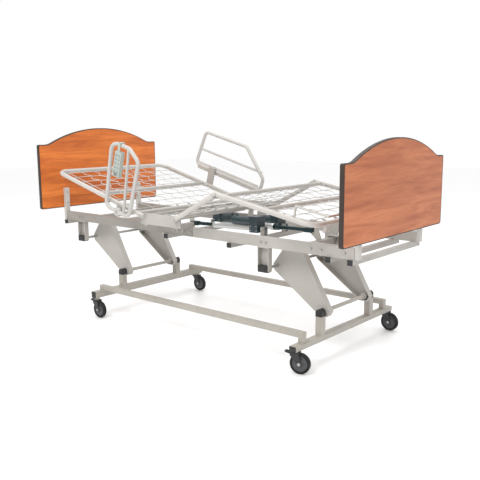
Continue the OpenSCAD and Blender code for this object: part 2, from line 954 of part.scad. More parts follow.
module drive_case(case_l, motor_l, bore0, drop, motor_r) {
  color(motor_green)
    difference() {
      union() {
        rod_y(0, 0, -9, 9, 24);
        span_box([0, -9, -9], [24, 9, 9]);
        span_box([20, -34, min(-22, drop - motor_r - 4)], [76, 34, max(22, drop + motor_r + 4)]);
        rod_x(0, 0, 70, case_l, case_d);
        rod_x(0, drop, 70, motor_l, 2 * motor_r);
      }
      rod_y(0, 0, -20, 20, 10 + 2 * fit);
      rod_x(0, 0, bore0, case_l + 1, rod_d + 2 * fit);
    }
}

module drive_rod(len, rod_l) {
  color(motor_green)
    union() {
      rod_x(0, 0, len - rod_l, len - yoke_l, rod_d);
      span_box([len - yoke_l - 8, -14, -12], [len - yoke_l + 3, 14, 12]);
      for (side = [-1, 1])
        plate_xz(side > 0 ? 7 : -14, side > 0 ? 14 : -7)
          union() {
            translate([len - yoke_l, -12])
              square([yoke_l, 24]);
            translate([len, 0])
              circle(r = 12.5);
          }
      rod_y(len, 0, -16, 16, pin_d);
    }
}

module lift_actuator() {
  along_drive(lift_rear, lift_pin, lift_y)
    drive_case(450, 172, 182, 26, 30);
}

module lift_rod() {
  along_drive(lift_rear, lift_pin, lift_y)
    drive_rod(drive_len(lift_rear, lift_pin), 380);
}

module back_actuator() {
  along_drive(back_rear, back_pin, back_y)
    drive_case(365, 210, 200, -36, 24);
}

module back_rod() {
  along_drive(back_rear, back_pin, back_y)
    drive_rod(drive_len(back_rear, back_pin), 290);
}

module knee_actuator() {
  along_drive(knee_rear, knee_pin, knee_y)
    drive_case(175, 160, 78, -36, 24);
}

module knee_rod() {
  along_drive(knee_rear, knee_pin, knee_y)
    drive_rod(drive_len(knee_rear, knee_pin), 165);
}

base_head_tube();
base_foot_tube();
base_side_tubes();
base_uprights();
pivot_caps();
caster_fork_head_left();
caster_fork_head_right();
caster_fork_foot_left();
caster_fork_foot_right();
caster_wheel_head_left();
caster_wheel_head_right();
caster_wheel_foot_left();
caster_wheel_foot_right();
brake_pedal_head_left();
brake_pedal_head_right();
brake_pedal_foot_left();
brake_pedal_foot_right();
head_lift_arms();
head_lower_shaft();
head_upper_shaft();
head_tie_tube();
foot_lift_arms();
foot_lower_shaft();
foot_upper_shaft();
foot_tie_tube();
lift_lever();
head_rails();
foot_rails();
rail_sleeves();
cross_tubes();
tube_plugs();
shaft_hangers();
shaft_bearings();
board_posts();
footboard_brackets();
headboard();
footboard();
board_edges();
actuator_brackets();
control_box();
seat_frame();
seat_springs();
hinge_pins();
head_frame();
head_springs();
thigh_frame();
thigh_springs();
foot_frame();
foot_springs();
mattress_retainer();
assist_brackets();
guard_rail();
grip_rail();
pendant();
lift_actuator();
lift_rod();
back_actuator();
back_rod();
knee_actuator();
knee_rod();
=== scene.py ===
import bpy
import bmesh
import json
import math
from mathutils import Vector, Matrix


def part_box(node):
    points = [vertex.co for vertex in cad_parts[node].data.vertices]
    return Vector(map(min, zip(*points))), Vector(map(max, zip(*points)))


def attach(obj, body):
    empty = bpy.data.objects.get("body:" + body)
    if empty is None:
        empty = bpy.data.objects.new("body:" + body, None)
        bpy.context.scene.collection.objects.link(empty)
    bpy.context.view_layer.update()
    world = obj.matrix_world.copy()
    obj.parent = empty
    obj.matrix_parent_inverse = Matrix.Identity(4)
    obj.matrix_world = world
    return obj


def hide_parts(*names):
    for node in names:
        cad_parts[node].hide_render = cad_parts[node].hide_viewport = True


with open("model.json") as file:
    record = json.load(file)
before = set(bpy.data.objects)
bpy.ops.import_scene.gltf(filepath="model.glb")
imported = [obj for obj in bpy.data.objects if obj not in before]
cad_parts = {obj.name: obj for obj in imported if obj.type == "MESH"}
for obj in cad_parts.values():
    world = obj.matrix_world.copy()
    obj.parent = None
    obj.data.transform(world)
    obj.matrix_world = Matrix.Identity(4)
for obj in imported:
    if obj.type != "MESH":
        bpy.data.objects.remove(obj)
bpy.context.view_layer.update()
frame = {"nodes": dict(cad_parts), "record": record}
NODES = frame["nodes"]
BODY_OF = {n: b for b, names in frame["record"]["behaviour"]["bodies"].items() for n in names}
JOINT = {j["name"]: j for j in frame["record"]["behaviour"]["joints"]}
CORNERS = ("head_left", "head_right", "foot_left", "foot_right")
SIDES = (-1, 1)
X_AXIS, Y_AXIS, Z_AXIS = Vector((1, 0, 0)), Vector((0, 1, 0)), Vector((0, 0, 1))
MM = 0.001


# ---------- materials ----------

class Mat:
    """A node material with a few shorthand builders."""

    def __init__(self, name, rough=0.45, metallic=0.0, coat=0.0, spec=0.5):
        self.m = bpy.data.materials.new(name)
        self.m.use_nodes = True
        self.t = self.m.node_tree
        self.b = self.t.nodes["Principled BSDF"]
        self.b.inputs["Roughness"].default_value = rough
        self.b.inputs["Metallic"].default_value = metallic
        self.b.inputs["Coat Weight"].default_value = coat
        self.b.inputs["Specular IOR Level"].default_value = spec
        self.co = self.t.nodes.new("ShaderNodeTexCoord").outputs["Object"]

    def node(self, kind):
        return self.t.nodes.new(kind)

    def link(self, a, b):
        self.t.links.new(a, b)

    def mapped(self, source, scale=(1, 1, 1), location=(0, 0, 0)):
        n = self.node("ShaderNodeMapping")
        n.inputs["Scale"].default_value = scale
        n.inputs["Location"].default_value = location
        self.link(source, n.inputs["Vector"])
        return n.outputs["Vector"]

    def noise(self, scale, detail=3.0, rough=0.5, vector=None, distortion=0.0):
        n = self.node("ShaderNodeTexNoise")
        n.inputs["Scale"].default_value = scale
        n.inputs["Detail"].default_value = detail
        n.inputs["Roughness"].default_value = rough
        n.inputs["Distortion"].default_value = distortion
        self.link(vector if vector is not None else self.co, n.inputs["Vector"])
        return n.outputs["Fac"]

    def ramp(self, fac, stops):
        n = self.node("ShaderNodeValToRGB")
        el = n.color_ramp.elements
        while len(el) < len(stops):
            el.new(0.5)
        for e, (p, c) in zip(el, stops):
            e.position = p
            e.color = (*c, 1)
        self.link(fac, n.inputs["Fac"])
        return n.outputs["Color"]

    def mix(self, fac, a, b, mode="MIX"):
        n = self.node("ShaderNodeMix")
        n.data_type = "RGBA"
        n.blend_type = mode
        for sock, v in ((n.inputs[0], fac), (n.inputs[6], a), (n.inputs[7], b)):
            if isinstance(v, (int, float)):
                sock.default_value = v
            elif isinstance(v, tuple):
                sock.default_value = (*v, 1)
            else:
                self.link(v, sock)
        return n.outputs[2]

    def color(self, out):
        self.link(out, self.b.inputs["Base Color"])

    def bump(self, *layers):
        normal = None
        for height, strength, distance in layers:
            n = self.node("ShaderNodeBump")
            n.inputs["Strength"].default_value = strength
            n.inputs["Distance"].default_value = distance
            self.link(height, n.inputs["Height"])
            if normal is not None:
                self.link(normal, n.inputs["Normal"])
            normal = n.outputs["Normal"]
        self.link(normal, self.b.inputs["Normal"])

    def rough(self, fac, low, high):
        n = self.node("ShaderNodeMapRange")
        n.inputs["To Min"].default_value = low
        n.inputs["To Max"].default_value = high
        self.link(fac, n.inputs["Value"])
        self.link(n.outputs["Result"], self.b.inputs["Roughness"])

    def edges(self):
        """Mesh pointiness: high on convex edges, low in corners; the mask for painted corner shade."""
        g = self.node("ShaderNodeNewGeometry")
        return g.outputs["Pointiness"]


def powder(name, base, dark, light):
    """Powder coat: clouded tone, fine speckle, orange peel, painted shade darkening the corners."""
    m = Mat(name, rough=0.42, spec=0.45)
    cloud = m.noise(3.0, 4.0, 0.6)
    col = m.ramp(cloud, [(0.3, dark), (0.55, base), (0.8, light)])
    speck = m.ramp(m.noise(420.0, 2.0), [(0.25, (0.86, 0.86, 0.86)), (0.5, (1, 1, 1))])
    col = m.mix(0.35, col, speck, "MULTIPLY")
    # painted shade: the concave corners and creases of the mesh are multiplied down to 0.70
    corner_shade = m.ramp(m.edges(), [(0.47, (0.70, 0.69, 0.68)), (0.52, (1, 1, 1))])
    m.color(m.mix(0.55, col, corner_shade, "MULTIPLY"))
    m.rough(m.noise(60.0, 3.0), 0.34, 0.5)
    m.bump((m.noise(900.0, 2.0), 0.25, 0.0003), (m.noise(25.0, 2.0), 0.08, 0.001))
    return m.m


def laminate(name, tones, seed):
    """Cherry laminate, grain along Y, laid out in face coordinates."""
    m = Mat(name, rough=0.40, coat=0.08, spec=0.4)
    m.b.inputs["Coat Roughness"].default_value = 0.22
    face = m.mapped(m.co, location=(seed, seed * 1.7, seed * 0.6))
    bands = m.noise(2.4, 5.0, 0.62, m.mapped(face, (1.0, 0.9, 9.0)), 0.7)
    col = m.ramp(bands, [(0.28, tones[0]), (0.45, tones[1]), (0.6, tones[2]), (0.78, tones[3])])
    pores = m.noise(1.6, 4.0, 0.7, m.mapped(face, (30.0, 7.0, 260.0)), 0.2)
    streak = m.ramp(pores, [(0.36, (0.62, 0.55, 0.5)), (0.5, (1, 1, 1)), (0.72, (1.0, 0.97, 0.93))])
    col = m.mix(0.5, col, streak, "MULTIPLY")
    planks = m.noise(1.5, 1.0, 0.4, m.mapped(face, (1.0, 0.35, 2.6)))
    patch = m.ramp(planks, [(0.35, (0.80, 0.74, 0.70)), (0.6, (1, 1, 1))])
    col = m.mix(0.6, col, patch, "MULTIPLY")
    m.color(col)
    m.rough(pores, 0.30, 0.46)
    m.bump((pores, 0.12, 0.0004))
    return m.m


def plastic(name, base, light, rough=0.5, grain=700.0, coat=0.0):
    m = Mat(name, rough=rough, coat=coat)
    m.b.inputs["Coat Roughness"].default_value = 0.3
    m.color(m.ramp(m.noise(8.0, 4.0, 0.6), [(0.35, base), (0.75, light)]))
    m.rough(m.noise(40.0, 3.0), rough - 0.08, rough + 0.1)
    m.bump((m.noise(grain, 1.0), 0.3, 0.0003))
    return m.m


def rubber(name, base, light):
    m = Mat(name, rough=0.7, spec=0.3)
    dust = m.ramp(m.noise(35.0, 5.0, 0.7), [(0.45, base), (0.8, light)])
    m.color(dust)
    m.rough(m.noise(30.0, 3.0), 0.6, 0.85)
    m.bump((m.noise(300.0, 3.0), 0.4, 0.0004))
    return m.m


def metal(name, base, dark, rough=0.32, brushed=(4.0, 400.0, 400.0)):
    m = Mat(name, rough=rough, metallic=0.9)
    lines = m.noise(1.0, 3.0, 0.6, m.mapped(m.co, brushed))
    m.color(m.ramp(lines, [(0.3, dark), (0.7, base)]))
    m.rough(lines, rough - 0.08, rough + 0.14)
    m.bump((lines, 0.1, 0.0002))
    return m.m


FRAME = powder("frame_powder", (0.405, 0.385, 0.357), (0.355, 0.338, 0.315), (0.455, 0.435, 0.407))
BASEC = powder("base_powder", (0.37, 0.345, 0.305), (0.32, 0.30, 0.27), (0.42, 0.39, 0.35))
DARKF = powder("head_rail_powder", (0.29, 0.27, 0.245), (0.25, 0.235, 0.21), (0.34, 0.315, 0.285))
WHITE = powder("section_powder", (0.50, 0.48, 0.45), (0.45, 0.43, 0.40), (0.56, 0.54, 0.51))
RAILC = powder("rail_powder", (0.49, 0.475, 0.455), (0.44, 0.425, 0.405), (0.55, 0.535, 0.515))
HEAD_TONES = [(0.42, 0.092, 0.013), (0.60, 0.150, 0.022), (0.74, 0.205, 0.034), (0.80, 0.255, 0.052)]
FOOT_TONES = [(0.34, 0.080, 0.021), (0.44, 0.122, 0.036), (0.53, 0.165, 0.056), (0.59, 0.204, 0.077)]
WOOD_H = laminate("cherry_head", HEAD_TONES, 1.3)
WOOD_F = laminate("cherry_foot", FOOT_TONES, 4.1)
EDGE = plastic("edge_band", (0.022, 0.012, 0.008), (0.040, 0.023, 0.016), 0.5, 300.0)
BLACK = plastic("black_plastic", (0.010, 0.010, 0.011), (0.022, 0.022, 0.024), 0.48)
TREAD = rubber("wheel_tread", (0.012, 0.012, 0.013), (0.030, 0.029, 0.028))
WHEELD = plastic("wheel_disc", (0.050, 0.052, 0.056), (0.080, 0.083, 0.088), 0.4)
MOTOR = plastic("motor_housing", (0.012, 0.028, 0.034), (0.026, 0.050, 0.060), 0.36, 500.0, 0.3)
TUBE = metal("actuator_tube", (0.62, 0.63, 0.62), (0.50, 0.51, 0.50), 0.36)
ZINC = metal("zinc_plate", (0.55, 0.55, 0.54), (0.40, 0.40, 0.395), 0.34, (300.0, 300.0, 300.0))
WIRE = powder("link_wire", (0.52, 0.51, 0.49), (0.44, 0.43, 0.41), (0.58, 0.57, 0.55))
HOOD = plastic("caster_black", (0.012, 0.012, 0.013), (0.026, 0.026, 0.028), 0.4)
ROD = metal("actuator_rod", (0.035, 0.060, 0.068), (0.020, 0.036, 0.042), 0.34)
PENDANT = plastic("pendant_shell", (0.36, 0.41, 0.37), (0.42, 0.46, 0.42), 0.45, 500.0)
KEYS = plastic("pendant_keys", (0.24, 0.275, 0.255), (0.30, 0.335, 0.31), 0.5, 500.0)
BOLT = metal("bolt_steel", (0.50, 0.50, 0.49), (0.32, 0.32, 0.31), 0.3, (600.0, 600.0, 600.0))


def paint(obj, mat):
    if not obj.data.materials:
        obj.data.materials.append(mat)
    for i in range(len(obj.data.materials)):
        obj.data.materials[i] = mat


# ---------- mesh helpers ----------

SMOOTH_ANGLE = math.radians(35)


def new_obj(name, bm, mat, body, smooth=True):
    me = bpy.data.meshes.new(name)
    bm.normal_update()
    bm.to_mesh(me)
    bm.free()
    o = bpy.data.objects.new(name, me)
    bpy.context.scene.collection.objects.link(o)
    me.materials.append(mat)
    if smooth:
        for p in me.polygons:
            p.use_smooth = True
        split = o.modifiers.new("smooth_edges", "EDGE_SPLIT")
        split.split_angle = SMOOTH_ANGLE
    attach(o, body)
    return o


def soften(o, width):
    """Small round on every sharp edge of a CAD node."""
    for p in o.data.polygons:
        p.use_smooth = True
    b = o.modifiers.new("round_edges", "BEVEL")
    b.width = width
    b.segments = 2
    b.limit_method = "ANGLE"
    b.angle_limit = SMOOTH_ANGLE
    b.harden_normals = True
    b.use_clamp_overlap = True


def ring(bm, centre, ax_u, ax_v, r, n):
    """Circle of n points in the plane of two directions."""
    out = []
    for i in range(n):
        a = 2 * math.pi * i / n
        out.append(bm.verts.new(centre + ax_u * (r * math.cos(a)) + ax_v * (r * math.sin(a))))
    return out


def bridge(bm, a, b):
    n = len(a)
    for i in range(n):
        bm.faces.new((a[i], a[(i + 1) % n], b[(i + 1) % n], b[i]))


def cap(bm, loop, flip=False):
    bm.faces.new(list(reversed(loop)) if flip else loop)


def skin(bm, loops):
    """Bridges the loops from the first to the last and caps both ends."""
    for a, b in zip(loops, loops[1:]):
        bridge(bm, a, b)
    cap(bm, loops[0], True)
    cap(bm, loops[-1])


def ring_skin(bm, loops):
    """Bridges the loops in a ring, the last one back to the first."""
    for a, b in zip(loops, loops[1:] + loops[:1]):
        bridge(bm, a, b)


def outward(bm):
    bmesh.ops.recalc_face_normals(bm, faces=bm.faces)


def cross_axes(axis):
    """Unit axis and two directions square to it."""
    axis = axis.normalized()
    u = axis.orthogonal().normalized()
    return axis, u, axis.cross(u)


def lathe(bm, base, axis, profile, n=40):
    """Turned solid: profile is (distance along axis, radius) from one end to the other."""
    axis, u, v = cross_axes(axis)
    skin(bm, [ring(bm, base + axis * d, u, v, r, n) for d, r in profile])


def sweep(bm, pts, r, n=14, closed=False):
    """Round tube along points, with a frame carried along the path."""
    pts = [Vector(p) for p in pts]
    m = len(pts)
    tang = []
    for i in range(m):
        a = pts[i - 1] if (i > 0 or closed) else pts[i]
        b = pts[(i + 1) % m] if (i < m - 1 or closed) else pts[i]
        tang.append((b - a).normalized())
    u = tang[0].orthogonal().normalized()
    loops = []
    for i in range(m):
        u = (u - tang[i] * u.dot(tang[i])).normalized()
        v = tang[i].cross(u)
        loops.append(ring(bm, pts[i], u, v, r, n))
    if not closed:
        skin(bm, loops)
        return
    for a, b in zip(loops, loops[1:]):
        bridge(bm, a, b)
    first, last = loops[0], loops[-1]
    best = min(range(n), key=lambda k: (last[0].co - first[k].co).length)
    bridge(bm, last, first[best:] + first[:best])


def rounded(pts, bend, steps):
    """Closed path with its corner points replaced by arcs of radius bend."""
    pts = [Vector(p) for p in pts]
    out = []
    n = len(pts)
    for i in range(n):
        a, b, c = pts[i - 1], pts[i], pts[(i + 1) % n]
        u, w = (b - a).normalized(), (c - b).normalized()
        turn = u.angle(w)
        if turn < 0.02:
            out.append(b)
            continue
        start = b - u * (bend * math.tan(turn / 2))
        nrm = (w - u * w.dot(u)).normalized()
        centre = start + nrm * bend
        for k in range(steps + 1):
            q = turn * k / steps
            out.append(centre - nrm * (bend * math.cos(q)) + u * (bend * math.sin(q)))
    return out


def hex_bolt(bm, at, axis, r, h):
    """Hexagon head of corner radius r and height h on its washer."""
    lathe(bm, at, axis, [(0.0, r * 1.28), (0.0012, r * 1.28), (0.0015, r * 1.22)], 24)
    axis, u, v = cross_axes(axis)
    foot_at = at + axis * 0.0014
    skin(bm, [ring(bm, foot_at, u, v, r, 6),
              ring(bm, foot_at + axis * (h * 0.8), u, v, r, 6),
              ring(bm, foot_at + axis * h, u, v, r * 0.86, 6)])


def dome(r, h):
    """Lathe profile of a domed head."""
    return [(-0.0005, r), (0.0002, r), (h * 0.45, r * 0.88), (h * 0.8, r * 0.6), (h, r * 0.2)]


def box_mesh(bm, lo, hi):
    x0, y0, z0 = lo
    x1, y1, z1 = hi
    v = [bm.verts.new((x, y, z)) for z in (z0, z1) for x, y in ((x0, y0), (x1, y0), (x1, y1), (x0, y1))]
    for f in ((3, 2, 1, 0), (4, 5, 6, 7), (0, 1, 5, 4), (1, 2, 6, 5), (2, 3, 7, 6), (3, 0, 4, 7)):
        bm.faces.new([v[i] for i in f])


# ---------- the CAD layout: section coordinates in millimetres ----------

HEAD, THIGH, FOOT = math.radians(15.3), math.radians(27.5), math.radians(10.5)
BACK_HINGE = Vector(JOINT["back_raise"]["pos_m"])
SEAT_HINGE = Vector(JOINT["knee_raise"]["pos_m"])
KNEE_HINGE = Vector(JOINT["foot_bend"]["pos_m"])
GUARD_PIN = Vector(JOINT["guard_swing"]["pos_m"])
GRIP_PIN = Vector(JOINT["grip_swing"]["pos_m"])
LIFT_PIN = Vector(JOINT["lift"]["pos_m"])
FOOT_LIFT_PIN = Vector(JOINT["foot_lift"]["pos_m"])
DECK_PIN = Vector(JOINT["deck_level"]["pos_m"])
LEG_Y = 433
LEG_R = 12.5


def head(s, y, n):
    """Point on the head section: s from its hinge, y across, n above its plane."""
    return Vector((BACK_HINGE.x + (-s * math.cos(HEAD) + n * math.sin(HEAD)) * MM, y * MM,
                   BACK_HINGE.z + (s * math.sin(HEAD) + n * math.cos(HEAD)) * MM))


def seat(s, y, n):
    return Vector((BACK_HINGE.x + s * MM, y * MM, BACK_HINGE.z + n * MM))


def thigh(s, y, n):
    return Vector((SEAT_HINGE.x + (s * math.cos(THIGH) - n * math.sin(THIGH)) * MM, y * MM,
                   SEAT_HINGE.z + (s * math.sin(THIGH) + n * math.cos(THIGH)) * MM))


def foot(s, y, n):
    return Vector((KNEE_HINGE.x + (s * math.cos(FOOT) + n * math.sin(FOOT)) * MM, y * MM,
                   KNEE_HINGE.z + (-s * math.sin(FOOT) + n * math.cos(FOOT)) * MM))


def mid(node):
    """Centre of a CAD node's box."""
    lo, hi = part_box(node)
    return (lo + hi) / 2


# ---------- painted CAD nodes ----------

LOOK = {}


def look(mat, width, *names):
    """Material and edge round in millimetres of the named nodes."""
    for name in names:
        LOOK[name] = (mat, width)


look(BASEC, 2.5, "base_head_tube", "base_foot_tube", "base_side_tubes")
look(BASEC, 2.0, "base_uprights")
look(BASEC, 1.0, "head_lower_shaft", "foot_lower_shaft")
look(FRAME, 3.0, "foot_rails")
look(FRAME, 2.0, "head_tie_tube", "foot_tie_tube", "cross_tubes", "footboard_brackets")
look(FRAME, 1.2, "head_lift_arms", "foot_lift_arms", "seat_frame", "assist_brackets")
look(FRAME, 0.9, "shaft_hangers")
look(FRAME, 0.8, "lift_lever")
look(FRAME, 0.7, "actuator_brackets")
look(DARKF, 3.0, "head_rails")
look(DARKF, 0.8, "rail_sleeves")
look(WHITE, 2.0, "board_posts")
look(WHITE, 0.7, "head_frame", "thigh_frame", "foot_frame")
look(WHITE, 0.5, "mattress_retainer")
look(RAILC, 0.5, "guard_rail", "grip_rail")
look(ZINC, 0.8, "head_upper_shaft", "foot_upper_shaft", "hinge_pins")
look(BLACK, 2.0, "shaft_bearings")
look(BLACK, 1.5, "tube_plugs")
look(BLACK, 1.2, "pivot_caps")
look(MOTOR, 3.0, "control_box")
look(MOTOR, 1.2, "lift_actuator", "back_actuator", "knee_actuator")
look(ROD, 0.8, "lift_rod", "back_rod", "knee_rod")
look(PENDANT, 2.5, "pendant")
look(WOOD_H, 0.5, "headboard")
look(WOOD_F, 0.5, "footboard")
look(EDGE, 0.5, "board_edges")
look(WIRE, 0.4, "head_springs", "thigh_springs", "foot_springs", "seat_springs")
for corner in CORNERS:
    look(HOOD, 0.8, "caster_fork_" + corner)
    look(TREAD, 0.8, "caster_wheel_" + corner)
    look(BLACK, 1.0, "brake_pedal_" + corner)

for name, ob in NODES.items():
    mat, width = LOOK[name]
    paint(ob, mat)
    soften(ob, width * MM)


# ---------- boards ----------

HEADBOARD_H = 0.400
FOOTBOARD_H = 0.356
SHOULDER_W = 0.075
BAND_T = 0.004
LOW_CORNER_R = 0.012
TOP_CORNER_R = 0.008
BAND_LIP = 0.0006
SCREW_Y = 0.300
POST_T = 0.020


def arch_height(y, run, arch):
    """Height of the bowed top above the shoulders, eased where it leaves them."""
    bow = (run * run + arch * arch) / (2 * arch)
    ease = 0.022
    total = 0.0
    for k in range(9):
        d = abs(y + ease * (k - 4) / 4)
        total += arch - bow + math.sqrt(bow * bow - d * d) if d < run else 0.0
    return total / 9


def quarter(cy, cz, r, start):
    """Quarter circle about (cy, cz), counterclockwise from the start angle in degrees."""
    turns = [math.radians(start + 15 * k) for k in range(7)]
    return [(cy + r * math.cos(a), cz + r * math.sin(a)) for a in turns]


def board_outline(half, h, arch, bottom, inset):
    """Corner-rounded board outline in (y, z), from the lower left corner counterclockwise."""
    hw = half - inset
    low = bottom + inset
    top = bottom + h - inset
    run = half - SHOULDER_W
    reach = run + 0.030
    steps = 60
    pts = quarter(-hw + LOW_CORNER_R, low + LOW_CORNER_R, LOW_CORNER_R, 180)
    pts += quarter(hw - LOW_CORNER_R, low + LOW_CORNER_R, LOW_CORNER_R, 270)
    pts += quarter(hw - TOP_CORNER_R, top - TOP_CORNER_R, TOP_CORNER_R, 0)
    for i in range(2 * steps + 1):
        y = reach * (1 - i / steps)
        pts.append((y, top + arch_height(y, run, arch)))
    return pts + quarter(-hw + TOP_CORNER_R, top - TOP_CORNER_R, TOP_CORNER_R, 90)


def board(node, mat, h):
    """Rounded edge band and the wood panel inside it; h is the height at the shoulders."""
    lo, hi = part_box(node)
    x0, x1 = lo.x, hi.x
    half = hi.y + BAND_T
    bottom = lo.z - BAND_T
    arch = hi.z + BAND_T - bottom - h

    def rims(bm, profile):
        loops = []
        for x, inset in profile:
            outline = board_outline(half, h, arch, bottom, inset)
            loops.append([bm.verts.new((x, y, z)) for y, z in outline])
        return loops

    bm = bmesh.new()
    ring_skin(bm, rims(bm, [
        (x0, 0.005), (x0 - BAND_LIP, 0.0042), (x0 - BAND_LIP, 0.0022), (x0 + 0.0004, 0.0008),
        (x0 + 0.0022, 0.0), (x1 - 0.0022, 0.0),
        (x1 - 0.0004, 0.0008), (x1 + BAND_LIP, 0.0022), (x1 + BAND_LIP, 0.0042), (x1, 0.005)]))
    band = new_obj(node + "_edge_band", bm, EDGE, "deck")
    bm = bmesh.new()
    in0, out0, out1, in1 = rims(bm, [(x0 + BAND_LIP, 0.0049), (x0, 0.0052),
                                     (x1, 0.0052), (x1 - BAND_LIP, 0.0049)])
    bridge(bm, in0, out0)
    bridge(bm, out1, in1)
    bridge(bm, in1, in0)
    cap(bm, out0, True)
    cap(bm, out1)
    outward(bm)
    panel = new_obj(node + "_panel", bm, mat, "deck", smooth=False)
    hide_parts(node)
    return band


def board_screws():
    """Dome-headed bolts through the posts into the boards, on the inner face of each post."""
    hlo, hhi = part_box("headboard")
    foot_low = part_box("footboard")[0].z
    bracket_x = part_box("footboard_brackets")[1].x
    bm = bmesh.new()
    for y in (-SCREW_Y, SCREW_Y):
        for dz in (0.030, 0.095):
            lathe(bm, Vector((hhi.x + POST_T, y, hlo.z + dz)), X_AXIS, dome(0.0065, 0.0030), 24)
        for dz in (0.022, 0.062):
            lathe(bm, Vector((bracket_x, y, foot_low + dz)), -X_AXIS, dome(0.0065, 0.0030), 24)
    new_obj("board_screws", bm, BOLT, "deck")


board("headboard", WOOD_H, HEADBOARD_H)
foot_band = board("footboard", WOOD_F, FOOTBOARD_H)
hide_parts("board_edges")
board_screws()


# ---------- springs of the sleep surface, in millimetres ----------

HEAD_L, THIGH_L, FOOT_L = 793, 285, 592
FABRIC_START = 43
END_BAR = 25
LANES = 9
WAVE_R, WAVE_N = 1.7, 2
CROSS_R, CROSS_N = 1.6, 5.2
COIL_R, COIL_WIRE_R, COIL_N = 4.2, 1.0, 1


def wave(bm, place, s0, s1, y, amp, pitch, phase=0.0):
    """Sinuous wire from s0 to s1 at y, waving sideways and straight at its ends."""
    count = max(2, round((s1 - s0) / pitch))
    steps = count * 8
    pts = []
    for i in range(steps + 1):
        t = i / steps
        ease = min(1.0, 12 * t, 12 * (1 - t))
        swing = amp * ease * math.sin(2 * math.pi * count * t + phase)
        pts.append(place(s0 + (s1 - s0) * t, y + swing, WAVE_N))
    sweep(bm, pts, WAVE_R * MM, 6)


def cross_wire(bm, place, s, half):
    """Straight wire across a section, lying on the sinuous wires."""
    steps = 6
    pts = [place(s, -half + 2 * half * i / steps, CROSS_N) for i in range(steps + 1)]
    sweep(bm, pts, CROSS_R * MM, 6)


def coil(bm, place, a, b, turns):
    """Small tension spring between two points of a section, with its end hooks."""
    dx, dy = b[0] - a[0], b[1] - a[1]
    length = math.hypot(dx, dy)
    ux, uy = dx / length, dy / length
    hook = length * 0.16
    steps = turns * 8
    pts = [place(a[0], a[1], COIL_N)]
    for i in range(steps + 1):
        t = i / steps
        q = 2 * math.pi * turns * t
        d = hook + (length - 2 * hook) * t
        off = COIL_R * math.cos(q)
        pts.append(place(a[0] + ux * d - uy * off, a[1] + uy * d + ux * off, COIL_N + COIL_R * math.sin(q)))
    pts.append(place(b[0], b[1], COIL_N))
    sweep(bm, pts, COIL_WIRE_R * MM, 5)


def spring_deck(name, place, body, s0, s1, cols, node):
    """Link fabric: sinuous wires lengthwise, cross wires, and coil springs to the frame all round."""
    inner = LEG_Y - 50
    a, b = s0 + 38, s1 - 38
    lanes = [-inner + i * 2 * inner / (LANES - 1) for i in range(LANES)]
    crossings = [a + (b - a) * j / cols for j in range(cols + 1)]
    bm = bmesh.new()
    for i, y in enumerate(lanes):
        amp = 17 if 0 < i < LANES - 1 else 0
        wave(bm, place, a, b, y, amp, 92, 0 if i % 2 else math.pi)
    for s in crossings:
        cross_wire(bm, place, s, inner)
    links = new_obj(name + "_wires", bm, WIRE, body)
    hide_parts(node)
    bm = bmesh.new()
    for y in lanes:
        coil(bm, place, (s0 + 8, y), (a, y), 6)
        coil(bm, place, (b, y), (s1 - 8, y), 6)
    for s in crossings:
        for side in SIDES:
            coil(bm, place, (s, side * inner), (s, side * (LEG_Y - LEG_R)), 7)
    new_obj(name + "_coils", bm, ZINC, body)


def seat_wires():
    """Short sinuous wires and one cross wire over the seat."""
    lo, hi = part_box("seat_springs")
    s0, s1 = (lo.x - BACK_HINGE.x) / MM, (hi.x - BACK_HINGE.x) / MM
    bm = bmesh.new()
    for i in range(9):
        wave(bm, seat, s0 - 4, s1 + 4, -412 + (i + 1) * 82.4, 12, 60)
    cross_wire(bm, seat, (s0 + s1) / 2, 396)
    wires = new_obj("seat_link_wires", bm, WIRE, "deck")
    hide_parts("seat_springs")


spring_deck("head_link", head, "head_section", FABRIC_START, HEAD_L - END_BAR, 8, "head_springs")
spring_deck("thigh_link", thigh, "thigh_section", FABRIC_START, THIGH_L - 3, 2, "thigh_springs")
spring_deck("foot_link", foot, "foot_section", FABRIC_START, FOOT_L - END_BAR, 5, "foot_springs")
seat_wires()


# ---------- side rails: (s, n) in millimetres on the head section ----------

RAIL_Y = 470
RAIL_R = 0.011
BAR_R = 0.008
GUARD_LINE = ((500, 97), (460, 328), (98, 330), (-84, 172), (-80, 97))
GUARD_BAR = ((-60, 208), (120, 208), (300, 208), (480, 208))
GUARD_BAND = ((-56, 0), (-48, -2.6), (-40, -4), (466, -4), (474, -2.6),
              (480, 0), (474, 2.6), (466, 4), (-40, 4), (-48, 2.6))
BAND_LEVELS = ((72, 0.25), (75, 0.8), (80, 1.0), (97, 1.0), (114, 1.0), (119, 0.8), (122, 0.25))
GRIP_LINE = ((256, -30), (278, 318), (232, 336), (130, 336), (46, 286), (56, -30))
GRIP_BAR = ((104, -29), (112, 80), (124, 200), (138, 333))
HUB_HALF = 0.0095
HUB_BORE = 0.0072


def rail_tube(name, y, line, bend, steps, bar, body):
    """Bent tube loop of a side rail with the bar inside it."""
    bm = bmesh.new()
    sweep(bm, rounded([head(s, y, n) for s, n in line], bend, steps), RAIL_R, 20, closed=True)
    sweep(bm, [head(s, y, n) for s, n in bar], BAR_R, 16)
    return new_obj(name, bm, RAILC, body)


def rail_hub(name, pin, r, body):
    """Bored hub about the pin that a side rail swings on."""
    profile = [(-HUB_HALF, r - 0.0025), (-0.0088, r), (0.0088, r), (HUB_HALF, r - 0.0025),
               (HUB_HALF, HUB_BORE), (-HUB_HALF, HUB_BORE)]
    bm = bmesh.new()
    ring_skin(bm, [ring(bm, pin + Y_AXIS * d, X_AXIS, Z_AXIS, q, 40) for d, q in profile])
    outward(bm)
    new_obj(name, bm, RAILC, body)


